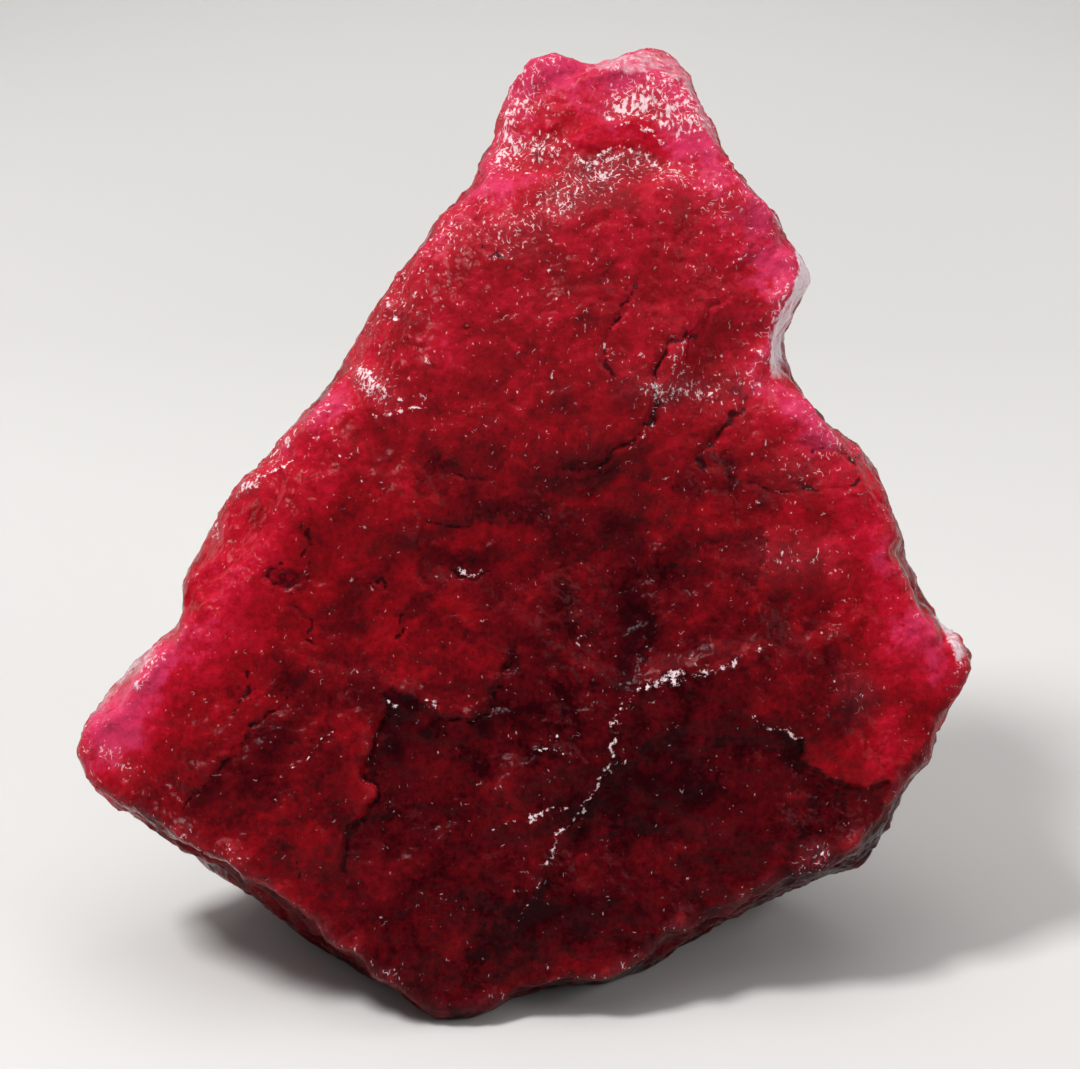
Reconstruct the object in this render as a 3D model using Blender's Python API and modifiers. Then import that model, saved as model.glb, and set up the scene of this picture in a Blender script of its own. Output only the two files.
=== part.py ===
"""A raw ruby: one broken block of corundum that stands on a flat parting face.

Run it with blender --background --python part.py, or from the text editor.
The block is shaped in its own frame, in millimetres: x across the broad front face, y up along it, z out
of it. The last steps lean it back and set it down, in metres with +Z up, with the origin on the ground
under the middle of its box.
"""

import math

import bmesh
import bpy
import numpy as np
from mathutils import Matrix, Vector, noise
from mathutils.kdtree import KDTree

MM = 0.001

# ---- Driving dimensions, in millimetres and degrees ----
LEAN = 22.0  # the front face leans back this far from upright
FRONT_PLANE = 3.0  # the blank reaches this far out in front
BACK_PLANE = -52.0  # and this far back
FLARE = 1 / 240  # the blank's section grows by this share for each millimetre towards the back
GROUND = -46.0  # the parting face lies this far below the middle of the front face
VOXEL = 0.9  # grid on which the chipped blank is rounded
ROUNDING_PASSES = 3
TRIANGLES = 9400
FRONT_THINNING = 0.45  # how readily the front gives up triangles, next to the other sides

RUBY_RED = (0.33, 0.008, 0.022, 1.0)

# The edge of the front face, clockwise from the dip between the two lobes at the top.
OUTLINE = [
    (5.3, 47.0), (7.2, 48.1), (10.5, 48.8), (12.9, 48.3), (14.6, 46.7), (15.9, 43.4), (19.0, 37.4),
    (20.3, 35.3), (22.4, 33.5), (23.9, 31.3), (24.7, 29.3), (26.5, 27.5), (27.0, 25.2), (26.1, 22.6),
    (24.8, 19.9), (24.4, 18.0), (25.4, 15.2), (26.9, 13.2), (28.8, 10.9), (31.0, 9.5), (32.6, 8.4),
    (34.2, 5.4), (35.3, 2.4), (37.2, -2.8), (37.7, -5.1), (40.7, -8.6), (43.3, -12.4), (40.8, -18.0),
    (39.4, -21.8), (38.5, -23.2), (37.0, -24.5), (35.9, -26.6), (34.0, -31.0), (32.3, -33.1),
    (26.9, -34.6), (21.6, -36.9), (14.9, -40.8), (9.2, -44.7), (4.0, -45.7), (-1.3, -46.8),
    (-8.0, -49.0), (-10.5, -49.5), (-14.5, -47.0), (-19.6, -42.7), (-23.0, -40.7), (-27.6, -36.7),
    (-34.7, -32.4), (-39.0, -29.8), (-42.6, -27.1), (-45.3, -25.2), (-46.5, -22.0), (-45.9, -19.1),
    (-44.4, -16.4), (-41.1, -12.2), (-36.4, -8.8), (-35.7, -7.5), (-35.8, -5.1), (-34.7, -2.5),
    (-31.4, 3.4), (-28.2, 7.4), (-24.4, 11.4), (-22.0, 13.5), (-14.7, 25.5), (-11.3, 29.4),
    (-10.2, 31.5), (-6.5, 35.3), (-6.0, 37.4), (-4.4, 39.5), (-4.4, 42.0), (-2.6, 45.6), (-1.0, 47.1),
    (2.0, 47.9),
]

# Flat breaks: a point on each, its tilt away from facing forwards, and the way it turns (0 right, 90 up).
CHIPS = {
    "right panel": ((14.0, 4.0, 3.0), 8.0, 12.0),
    "foot panel": ((0.0, -26.0, 3.0), 7.0, -75.0),
    "crown": ((8.0, 32.5, 2.6), 22.0, 96.0),
    "left shoulder": ((-19.0, 10.2, 2.4), 30.0, 145.0),
    "left tip face": ((-34.0, -18.0, 2.6), 15.0, 170.0),
    "right tip face": ((35.0, -14.0, 1.8), 20.0, -5.0),
    "back": ((4.0, 48.0, -11.0), 159.0, 88.0),
    "back left": ((-45.0, -22.0, -11.0), 133.0, 185.0),
    "back right": ((42.0, -12.0, -11.0), 135.0, -6.0),
    "back upper left": ((-20.0, 15.0, -12.0), 132.0, 150.0),
    "back upper right": ((25.5, 24.0, -14.0), 138.0, 24.0),
    "heel left": ((-20.0, -36.0, -40.0), 125.0, 215.0),
    "heel right": ((22.0, -36.0, -40.0), 122.0, -40.0),
}

# Steps in the front face: drop, reach and width of the wall, and a path whose low side lies to its right.
LEDGES = {
    "brow": (1.4, 22.0, 1.4, [
        (-2.0, 5.2), (3.4, 5.9), (6.6, 6.7), (10.4, 10.6), (12.5, 14.9), (14.0, 19.2), (17.0, 21.5),
        (21.6, 25.4)
    ]),
    "crack": (0.9, 6.0, 1.2, [(9.1, 15.4), (6.3, 16.9), (6.6, 21.0), (9.9, 25.6)]),
    "right crack": (1.0, 7.0, 1.2, [(17.3, 4.0), (16.0, 7.0), (18.0, 10.4), (21.4, 13.6)]),
    "centre wall": (1.9, 13.0, 1.2, [
        (12.2, -1.0), (11.2, -6.6), (11.0, -10.6), (10.3, -14.0), (8.6, -16.4)
    ]),
    "shelf": (1.3, 6.0, 1.2, [(23.0, -11.2), (19.6, -11.0), (17.2, -12.6), (12.3, -14.4), (8.8, -16.3)]),
    "spine": (1.1, 8.0, 1.4, [
        (-2.2, -39.3), (-0.5, -36.1), (2.0, -30.1), (5.4, -25.4), (7.2, -20.1), (9.0, -16.6)
    ]),
    "branch": (0.7, 4.0, 1.2, [(5.4, -25.4), (1.0, -28.1), (-2.8, -29.9)]),
    "left wall": (1.6, 12.0, 1.3, [
        (-19.2, -34.2), (-19.6, -29.6), (-16.4, -27.1), (-17.3, -24.4), (-16.6, -21.0), (-16.4, -16.8)
    ]),
    "plate": (1.1, 9.0, 1.4, [
        (-2.3, -11.6), (-4.6, -15.2), (-5.4, -17.7), (-8.0, -18.5), (-12.5, -15.7), (-16.4, -15.4)
    ]),
    "right dip": (0.8, 5.0, 1.2, [(18.5, -18.5), (22.4, -19.9), (26.4, -21.0)]),
    "right step": (0.9, 5.0, 1.2, [(22.0, 0.4), (22.2, -5.6)]),
    "shoulder vein": (0.9, 4.0, 1.2, [(-20.1, 13.0), (-16.8, 11.7), (-11.2, 11.7)]),
    "shoulder ridge": (0.8, 4.0, 1.2, [(-13.5, 12.9), (-16.4, 15.4), (-18.8, 17.9)]),
    "rim vein": (0.7, 3.5, 1.2, [(-23.6, 7.5), (-26.0, 6.4), (-28.6, 4.6)]),
    "knob groove": (1.0, 4.5, 1.2, [(12.6, 39.7), (9.6, 41.0), (6.4, 43.0), (5.0, 44.6)]),
    "neck": (1.0, 6.0, 1.4, [(16.0, 35.6), (10.5, 36.0), (4.0, 34.4), (-1.0, 36.2), (-6.0, 37.0)]),
    "corner crack": (0.9, 5.0, 1.2, [(-6.2, 34.7), (-5.4, 29.4), (-4.7, 24.5)]),
    "lobe ridge": (4.0, 30.0, 1.6, [(16.5, 43.5), (14.6, 44.7), (10.0, 46.4), (6.2, 45.8), (3.0, 46.6)]),
    "notch wall": (8.0, 30.0, 1.8, [(23.0, 16.5), (23.5, 19.4), (24.8, 23.0), (26.0, 26.2), (24.5, 29.6)]),
    "hip wall": (7.0, 30.0, 1.8, [(39.8, -11.5), (38.2, -8.8), (36.2, -5.0), (35.4, -1.0)]),
    "left facet": (6.0, 30.0, 2.6, [
        (-34.5, -7.0), (-35.6, -8.8), (-37.5, -12.1), (-40.5, -15.6), (-44.6, -20.6)
    ]),
    "toe turn": (6.0, 30.0, 2.2, [
        (-43.5, -24.6), (-41.0, -26.4), (-35.0, -29.8), (-27.0, -35.4), (-19.0, -41.4), (-11.0, -47.4)
    ]),
    "chin turn": (4.5, 30.0, 2.0, [
        (-8.0, -47.6), (4.0, -44.6), (9.0, -43.4), (14.6, -39.6), (21.4, -35.6), (31.6, -31.4),
        (36.0, -24.5)
    ]),
}

# Shallow hollows in the front face, and swells of negative depth: centre, half width, half height, turn, depth.
HOLLOWS = {
    "brow hollow": ((-4.0, 6.4), 10.0, 2.6, -6.0, 1.3),
    "lower hollow": ((-6.0, -3.2), 9.0, 1.6, 0.0, 0.9),
    "centre": ((1.0, -4.5), 13.0, 10.0, 10.0, 1.3),
    "lower right": ((14.0, -25.0), 10.0, 9.0, 30.0, 1.2),
    "lower middle": ((-8.0, -27.0), 8.0, 10.0, -15.0, 0.9),
    "left": ((-30.0, -15.0), 8.0, 6.0, 40.0, 0.8),
    "upper swell": ((4.0, 22.0), 12.0, 8.0, -20.0, -1.1),
    "right swell": ((30.0, -13.0), 8.0, 10.0, 0.0, -1.0),
    "left swell": ((-24.0, -26.0), 9.0, 7.0, 30.0, -0.9),
}

# Rounder pits: centre, radius, depth.
PITS = {
    "left pit": ((-25.0, -4.2), 2.2, 1.3),
    "left cleft": ((-25.1, -15.0), 1.8, 1.0),
    "upper pit": ((-9.8, 6.9), 2.0, 1.0),
    "centre pit": ((-2.8, -12.2), 1.6, 1.2),
    "right pit": ((17.6, 6.4), 2.0, 1.0),
}

FADE = 0.12  # share of a ledge's length over which each end dies out
LIP = 0.15  # how proud a ledge's upper edge stands, as a share of its drop
LIP_WIDTH = 1.6
RAGGED, RAGGED_SIZE = 1.6, 3.6  # the ledges' edges stray this far, over about this length
RIM_RADIUS = 1.8  # the front face turns over at its edge
FRONT_DEPTH = 17.0  # the relief of the front fades out over this depth

# Hackly fracture, coarse to fine: cell size, how steeply a cell's face tilts, and a seed.
HACKLES = [(13.0, 0.2, 3), (5.5, 0.2, 17)]
CREASE = 0.3  # a cell falls to the crease around it over this share of its size
SWELL, SWELL_SIZE = 0.5, 8.0
WALL_BULGE = 0.1  # the walls between front and back are hollowed, and stand out no further than this
STEEP, STEEP_BLEND = 0.75, 0.35  # a side counts as a wall where its normal's z falls below this


def clear_scene():
    for obj in list(bpy.data.objects):
        bpy.data.objects.remove(obj, do_unlink=True)


def facing(tilt, turn):
    """The unit vector tilted away from the front, towards the way it turns."""
    tilt, turn = math.radians(tilt), math.radians(turn)
    return Vector((math.sin(tilt) * math.cos(turn), math.sin(tilt) * math.sin(turn), math.cos(tilt)))


def cut_flat(bm, point, normal):
    """Takes off all that lies beyond a plane and closes the cut."""
    everything = bm.verts[:] + bm.edges[:] + bm.faces[:]
    cut = bmesh.ops.bisect_plane(bm, geom=everything, plane_co=point, plane_no=normal, clear_outer=True)
    rim = [part for part in cut["geom_cut"] if isinstance(part, bmesh.types.BMEdge)]
    bmesh.ops.triangle_fill(bm, edges=rim, use_beauty=True, use_dissolve=False, normal=normal)


def blank():
    """The outline carried straight back, growing a little on the way."""
    curve = bpy.data.curves.new("blank", "CURVE")
    curve.dimensions = "2D"
    curve.fill_mode = "BOTH"
    curve.extrude = (FRONT_PLANE - BACK_PLANE) / 2
    edge = curve.splines.new("POLY")
    edge.points.add(len(OUTLINE) - 1)
    for point, (x, y) in zip(edge.points, OUTLINE):
        point.co = (x, y, 0.0, 1.0)
    edge.use_cyclic_u = True
    prism = bpy.data.objects.new("blank", curve)
    bpy.context.scene.collection.objects.link(prism)
    graph = bpy.context.evaluated_depsgraph_get()
    mesh = bpy.data.meshes.new_from_object(prism.evaluated_get(graph))
    bpy.data.objects.remove(prism)
    bm = bmesh.new()
    bm.from_mesh(mesh)
    bmesh.ops.remove_doubles(bm, verts=bm.verts, dist=0.001)
    for vert in bm.verts:
        vert.co.z += (FRONT_PLANE + BACK_PLANE) / 2
        vert.co.xy *= 1.0 - vert.co.z * FLARE
    return bm


def mesh_object(name, bm, collection):
    mesh = bpy.data.meshes.new(name)
    bm.to_mesh(mesh)
    bm.free()
    obj = bpy.data.objects.new(name, mesh)
    collection.objects.link(obj)
    return obj


def bake_modifiers(obj):
    """Puts the shape that the modifiers give into the object's own mesh."""
    graph = bpy.context.evaluated_depsgraph_get()
    graph.update()
    shaped = bpy.data.meshes.new_from_object(obj.evaluated_get(graph))
    obj.modifiers.clear()
    obj.data = shaped


def round_edges(obj):
    """Remeshes the chipped blank on an even grid and wears its edges."""
    remesh = obj.modifiers.new("even grid", "REMESH")
    remesh.mode = "VOXEL"
    remesh.voxel_size = VOXEL
    wear = obj.modifiers.new("worn edges", "SMOOTH")
    wear.factor = 0.5
    wear.iterations = ROUNDING_PASSES
    bake_modifiers(obj)


def points_and_normals(mesh):
    points = np.empty(len(mesh.vertices) * 3, np.float32)
    mesh.vertices.foreach_get("co", points)
    points = points.reshape(-1, 3).astype(float)
    mesh.calc_loop_triangles()
    triangles = np.empty(len(mesh.loop_triangles) * 3, np.int32)
    mesh.loop_triangles.foreach_get("vertices", triangles)
    triangles = triangles.reshape(-1, 3)
    first, second, third = (points[triangles[:, i]] for i in range(3))
    outward = np.cross(second - first, third - first)
    normals = np.zeros_like(points)
    for i in range(3):
        np.add.at(normals, triangles[:, i], outward)
    return points, normals / np.linalg.norm(normals, axis=1)[:, None]


def move_to(mesh, points):
    mesh.vertices.foreach_set("co", points.astype(np.float32).ravel())
    mesh.update()


def smooth(share):
    share = np.clip(share, 0.0, 1.0)
    return share * share * (3.0 - 2.0 * share)


def beside(path, spots):
    """Distance to a path, side of it (positive to its right), and share of its length, for each spot."""
    path = np.array(path, float)
    lengths = np.linalg.norm(np.diff(path, axis=0), axis=1)
    before = np.concatenate([[0.0], np.cumsum(lengths)])
    nearest = np.full(len(spots), np.inf)
    side = np.ones(len(spots))
    share = np.zeros(len(spots))
    for start, end, length, travelled in zip(path[:-1], path[1:], lengths, before):
        step = (end - start) / length
        offset = spots - start
        along = np.clip(offset @ step, 0.0, length)
        gap = np.linalg.norm(offset - along[:, None] * step, axis=1)
        closer = gap < nearest
        nearest[closer] = gap[closer]
        side[closer] = np.sign(offset[closer, 0] * step[1] - offset[closer, 1] * step[0])
        share[closer] = (travelled + along[closer]) / before[-1]
    return nearest, side, share


def ledge_relief(spots, drop, reach, wall, path):
    """A step down to the right of the path, which dies out at its ends and over its reach."""
    gap, side, share = beside(path, spots)
    strength = smooth(share / FADE) * smooth((1.0 - share) / FADE)
    below = smooth(side * gap / wall)
    fall = below * (1.0 - smooth(gap / reach))
    lip = (1.0 - below) * LIP * np.exp(-gap / LIP_WIDTH)
    return drop * strength * (lip - fall)


def hollow_relief(spots, centre, half_width, half_height, turn, depth):
    turn = math.radians(turn)
    offset = spots - np.array(centre)
    across = (offset[:, 0] * math.cos(turn) + offset[:, 1] * math.sin(turn)) / half_width
    up = (offset[:, 1] * math.cos(turn) - offset[:, 0] * math.sin(turn)) / half_height
    return -depth * np.exp(-(across**2 + up**2))


def wander(spots):
    """Each spot moved a little, so that a straight path becomes a ragged one."""
    moved = spots.copy()
    for i, (x, y) in enumerate(spots / RAGGED_SIZE):
        across = noise.noise(Vector((x, y, 0.0)))
        up = noise.noise(Vector((x, y, 50.0)))
        moved[i] += RAGGED * np.array((across, up))
    return moved


def front_relief(spots):
    """Height of the front face's own relief at each spot across and up it."""
    height = np.zeros(len(spots))
    ragged = wander(spots)
    for drop, reach, wall, path in LEDGES.values():
        height += ledge_relief(ragged, drop, reach, wall, path)
    for centre, half_width, half_height, turn, depth in HOLLOWS.values():
        height += hollow_relief(spots, centre, half_width, half_height, turn, depth)
    for centre, radius, depth in PITS.values():
        height += hollow_relief(spots, centre, radius, radius, 0.0, depth)
    to_rim = beside(OUTLINE + OUTLINE[:1], spots)[0]
    turned = 1.0 - np.clip(to_rim / RIM_RADIUS, 0.0, 1.0)
    return height - RIM_RADIUS * (1.0 - np.sqrt(1.0 - turned**2))


def hackle(points, size, steepness, seed):
    """Height of a broken surface made of tilted flat cells that meet in creases."""
    random = np.random.default_rng(seed)
    low, high = points.min(axis=0) - size, points.max(axis=0) + size
    corners = np.stack(np.meshgrid(*[np.arange(*ends, size) for ends in zip(low, high)]), -1).reshape(-1, 3)
    centres = corners + size * random.uniform(0.0, 0.9, corners.shape)
    leans = steepness * random.uniform(-1.0, 1.0, corners.shape)
    tree = KDTree(len(centres))
    for i, centre in enumerate(centres):
        tree.insert(centre, i)
    tree.balance()
    height = np.zeros(len(points))
    for i, point in enumerate(points):
        (centre, cell, near), (_, _, far) = tree.find_n(point, 2)
        inside = min(1.0, (far - near) / (CREASE * size))
        height[i] = leans[cell] @ (point - np.array(centre)) * inside
    return height


def fracture_relief(points):
    """Height of the rough break that covers every side."""
    height = sum(hackle(points, *cells) for cells in HACKLES)
    return height + SWELL * np.array([noise.noise(Vector(point) / SWELL_SIZE) for point in points])


def break_surface(obj):
    """Cuts the ledges, hollows and pits into the front, and roughens every side."""
    points, normals = points_and_normals(obj.data)
    near_front = smooth(1.0 - (FRONT_PLANE - points[:, 2]) / FRONT_DEPTH)
    spots = points[:, :2] / (1.0 - points[:, 2:] * FLARE)
    points[:, 2] += near_front * front_relief(spots)
    rough = fracture_relief(points)
    on_wall = smooth((STEEP - np.abs(normals[:, 2])) / STEEP_BLEND)
    rough += on_wall * (WALL_BULGE - np.abs(rough) - rough)
    points += normals * rough[:, None]
    move_to(obj.data, points)


def thin_out(obj):
    """Spends the triangles where the relief needs them, most of all on the front."""
    _, normals = points_and_normals(obj.data)
    plain = obj.vertex_groups.new(name="plain")
    for i, outward in enumerate(normals[:, 2]):
        plain.add([i], FRONT_THINNING if outward > 0.3 else 1.0, "REPLACE")
    obj.data.calc_loop_triangles()
    thin = obj.modifiers.new("thin out", "DECIMATE")
    thin.ratio = TRIANGLES / len(obj.data.loop_triangles)
    thin.use_collapse_triangulate = True
    thin.vertex_group = plain.name
    bake_modifiers(obj)
    obj.vertex_groups.clear()


def stand_up(obj):
    """Leans the block back, splits off its foot along the parting face, and sets it on the ground."""
    bm = bmesh.new()
    bm.from_mesh(obj.data)
    bm.transform(Matrix.Scale(MM, 4) @ Matrix.Rotation(math.radians(90.0 - LEAN), 4, "X"))
    cut_flat(bm, Vector((0.0, 0.0, GROUND * MM)), Vector((0.0, 0.0, -1.0)))
    corners = np.array([vert.co for vert in bm.verts])
    low, high = corners.min(axis=0), corners.max(axis=0)
    middle = Vector(((low[0] + high[0]) / 2, (low[1] + high[1]) / 2, low[2]))
    bm.transform(Matrix.Translation(-middle))
    bmesh.ops.triangulate(bm, faces=[face for face in bm.faces if len(face.verts) > 3])
    bmesh.ops.recalc_face_normals(bm, faces=bm.faces)
    bm.to_mesh(obj.data)
    bm.free()


def ruby_material():
    material = bpy.data.materials.new("raw ruby")
    material.use_nodes = True
    shader = material.node_tree.nodes["Principled BSDF"]
    shader.inputs["Base Color"].default_value = RUBY_RED
    shader.inputs["Roughness"].default_value = 0.3
    shader.inputs["Metallic"].default_value = 0.0
    shader.inputs["IOR"].default_value = 1.76
    material.diffuse_color = RUBY_RED
    return material


def raw_ruby(collection):
    bm = blank()
    for point, tilt, turn in CHIPS.values():
        cut_flat(bm, Vector(point), facing(tilt, turn))
    obj = mesh_object("raw_ruby", bm, collection)
    round_edges(obj)
    break_surface(obj)
    thin_out(obj)
    stand_up(obj)
    obj.data.materials.append(ruby_material())
    return obj


def main():
    clear_scene()
    collection = bpy.data.collections.new("raw ruby")
    bpy.context.scene.collection.children.link(collection)
    raw_ruby(collection)


main()
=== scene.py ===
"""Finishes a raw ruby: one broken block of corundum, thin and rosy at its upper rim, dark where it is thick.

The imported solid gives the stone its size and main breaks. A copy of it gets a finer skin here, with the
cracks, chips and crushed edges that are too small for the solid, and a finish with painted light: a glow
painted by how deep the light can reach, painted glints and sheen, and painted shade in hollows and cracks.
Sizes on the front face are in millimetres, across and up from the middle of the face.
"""

import math

import bpy
import numpy as np
from bpy.props import FloatProperty, FloatVectorProperty, IntProperty, PointerProperty
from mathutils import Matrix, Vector, noise
from mathutils.bvhtree import BVHTree
from mathutils.kdtree import KDTree


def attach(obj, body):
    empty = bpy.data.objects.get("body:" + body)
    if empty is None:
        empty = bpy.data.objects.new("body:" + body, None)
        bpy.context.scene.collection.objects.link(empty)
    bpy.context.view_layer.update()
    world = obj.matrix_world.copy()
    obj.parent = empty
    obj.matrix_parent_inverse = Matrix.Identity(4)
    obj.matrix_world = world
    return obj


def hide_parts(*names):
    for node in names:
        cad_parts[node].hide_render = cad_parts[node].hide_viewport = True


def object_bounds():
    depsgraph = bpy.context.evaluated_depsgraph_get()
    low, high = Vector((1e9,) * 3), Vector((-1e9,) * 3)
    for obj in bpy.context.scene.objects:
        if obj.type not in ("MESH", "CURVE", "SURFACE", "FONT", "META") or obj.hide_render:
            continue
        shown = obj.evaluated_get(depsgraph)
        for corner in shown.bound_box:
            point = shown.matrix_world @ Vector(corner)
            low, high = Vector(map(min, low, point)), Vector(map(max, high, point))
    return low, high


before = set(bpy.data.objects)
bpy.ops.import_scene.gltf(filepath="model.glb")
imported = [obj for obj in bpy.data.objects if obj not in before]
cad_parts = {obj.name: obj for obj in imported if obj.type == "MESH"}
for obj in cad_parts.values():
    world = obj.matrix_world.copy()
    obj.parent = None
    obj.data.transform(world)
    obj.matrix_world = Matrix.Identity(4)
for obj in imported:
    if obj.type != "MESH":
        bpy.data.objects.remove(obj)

bl_info = {
    "name": "Raw ruby",
    "version": (1, 0, 0),
    "blender": (4, 5, 0),
    "location": "View3D > Sidebar > Ruby",
    "description": "Gives a raw ruby its broken skin and its finish, and sets a plain studio around it",
    "category": "Object",
}

MM = 0.001
CAD_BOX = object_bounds()

# The frame of the front face: its middle on the stone, in millimetres, and how far it leans back.
FACE_MIDDLE = np.array((1.417, -5.465, 46.0))
LEAN = math.radians(22.0)
VANISHING = 240.0  # the stone's sides run back from a point this far in front of the face

# Cracks, cut in and painted dark as shade in the crack: half width, depth, and the path.
CRACKS = {
    "upper crack": (0.17, 0.55, [
        (9.9, 25.7), (8.9, 24.6), (8.0, 22.7), (6.8, 21.1), (6.5, 19.1), (6.3, 16.7), (7.7, 16.1)
    ]),
    "brow crack": (0.26, 0.8, [
        (19.7, 24.1), (17.7, 22.7), (15.7, 20.4), (13.3, 18.7), (12.0, 16.7), (12.3, 13.7), (11.3, 11.4),
        (10.0, 9.7), (7.7, 8.1), (6.7, 6.7), (4.2, 6.0), (2.0, 6.2)
    ]),
    "right crack": (0.32, 0.8, [
        (21.0, 13.1), (19.0, 10.7), (17.7, 9.1), (16.3, 7.7), (15.6, 6.0), (16.0, 3.4)
    ]),
    "right twig": (0.25, 0.5, [(18.6, 8.4), (19.4, 6.6), (18.8, 4.8), (20.0, 3.4)]),
    "wall foot": (0.4, 0.8, [
        (-15.6, -17.2), (-16.3, -19.6), (-17.0, -22.3), (-17.3, -24.3), (-16.3, -25.6), (-16.5, -27.6),
        (-17.7, -28.9), (-19.0, -29.6), (-19.2, -32.4), (-18.6, -34.4), (-18.0, -36.4)
    ]),
    "plate edge": (0.3, 0.6, [
        (-3.0, -11.2), (-3.6, -13.4), (-4.3, -15.4), (-5.3, -17.8), (-7.5, -18.6), (-9.9, -17.8)
    ]),
    "corner crack": (0.16, 0.4, [(-6.3, 32.3), (-5.9, 30.2), (-5.4, 28.6), (-3.4, 28.2)]),
    "shoulder crease": (0.2, 0.3, [(-23.0, 2.0), (-23.6, -0.6), (-24.6, -3.0), (-25.6, -4.6)]),
    "flank crease": (0.22, 0.4, [(-29.6, -13.0), (-29.0, -14.6), (-29.8, -16.4), (-30.2, -18.3)]),
    "band line": (0.18, 0.3, [(-24.4, -15.6), (-27.4, -18.4), (-31.3, -22.6), (-35.7, -28.3)]),
    "toe crease": (0.16, 0.3, [(-25.7, -30.3), (-24.4, -31.8), (-24.2, -34.6)]),
    "small hook": (0.18, 0.3, [(-17.0, -4.9), (-16.0, -5.2), (-15.7, -6.2)]),
    "belly line": (0.24, 0.5, [(-8.6, -3.2), (-6.6, -3.7), (-5.0, -3.6)]),
    "belly crease": (0.2, 0.4, [(-12.0, 1.4), (-9.4, 0.6), (-6.2, 1.2), (-3.0, 0.8)]),
    "hook": (0.18, 0.35, [(4.6, -0.2), (5.6, -1.6), (4.8, -3.0), (2.4, -3.6), (0.6, -4.0)]),
    "net left": (0.2, 0.35, [(20.8, 5.4), (23.0, 4.6), (25.6, 5.0), (28.0, 4.0), (30.6, 4.6), (32.0, 6.4)]),
    "net right": (0.2, 0.35, [(26.0, 9.8), (27.4, 8.4), (30.0, 8.8), (32.2, 7.6)]),
    "smudge hook": (0.2, 0.5, [(-25.7, -2.6), (-27.0, -4.3), (-25.7, -5.3), (-23.3, -4.6)]),
    "smudge thread": (0.17, 0.35, [(-24.2, -7.0), (-23.0, -8.2), (-23.4, -9.8), (-21.9, -11.0)]),
    "middle thread": (0.17, 0.35, [(-13.6, -6.2), (-14.2, -8.0), (-13.4, -9.6), (-13.8, -11.0)]),
    "left thread": (0.16, 0.3, [(-24.4, 1.6), (-23.2, -0.8), (-23.4, -3.4)]),
    "brow thread": (0.16, 0.3, [(-12.0, 5.6), (-9.0, 6.0), (-6.4, 5.2), (-3.6, 5.6)]),
}

# Sharp low steps between the flakes of the face, which is higher to the left of each path and painted
# lighter there as a lit side, darker to the right as a shaded side: how much lighter, reach in millimetres,
# and the path.
STEPS = {
    "core edge": (0.07, 6.0, [(11.0, -6.0), (11.4, -9.4), (11.0, -12.6), (10.2, -14.6)]),
    "panel edge": (0.10, 8.0, [(22.0, 0.7), (22.3, -2.6), (22.0, -5.7)]),
    "clear patch edge": (0.15, 7.0, [
        (26.3, -19.4), (26.7, -22.6), (28.3, -24.3), (31.3, -24.9), (36.3, -25.1)
    ]),
    "slab wall": (0.14, 7.0, [
        (-19.0, -29.6), (-17.7, -28.9), (-16.5, -27.6), (-16.3, -25.6), (-17.3, -24.3), (-17.0, -22.3),
        (-16.3, -19.6), (-15.8, -17.4), (-16.3, -15.4)
    ]),
    "plate rim": (0.10, 6.0, [
        (-16.3, -15.4), (-11.3, -16.9), (-9.9, -17.8), (-7.5, -18.6), (-5.3, -17.8), (-4.3, -15.3),
        (-3.0, -11.1)
    ]),
    "band rim": (0.08, 6.0, [(-35.7, -28.3), (-31.3, -22.6), (-27.4, -18.4), (-24.4, -15.6)]),
    "shelf": (0.06, 5.0, [(9.0, -15.8), (13.5, -14.6), (18.8, -13.2), (23.5, -11.4)]),
    "dip": (0.05, 4.0, [(19.7, -18.3), (22.5, -20.0), (25.5, -20.6), (27.0, -20.0)]),
    "brow": (0.04, 5.0, [(6.3, 15.9), (9.0, 15.6), (11.6, 15.0)]),
}
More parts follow.
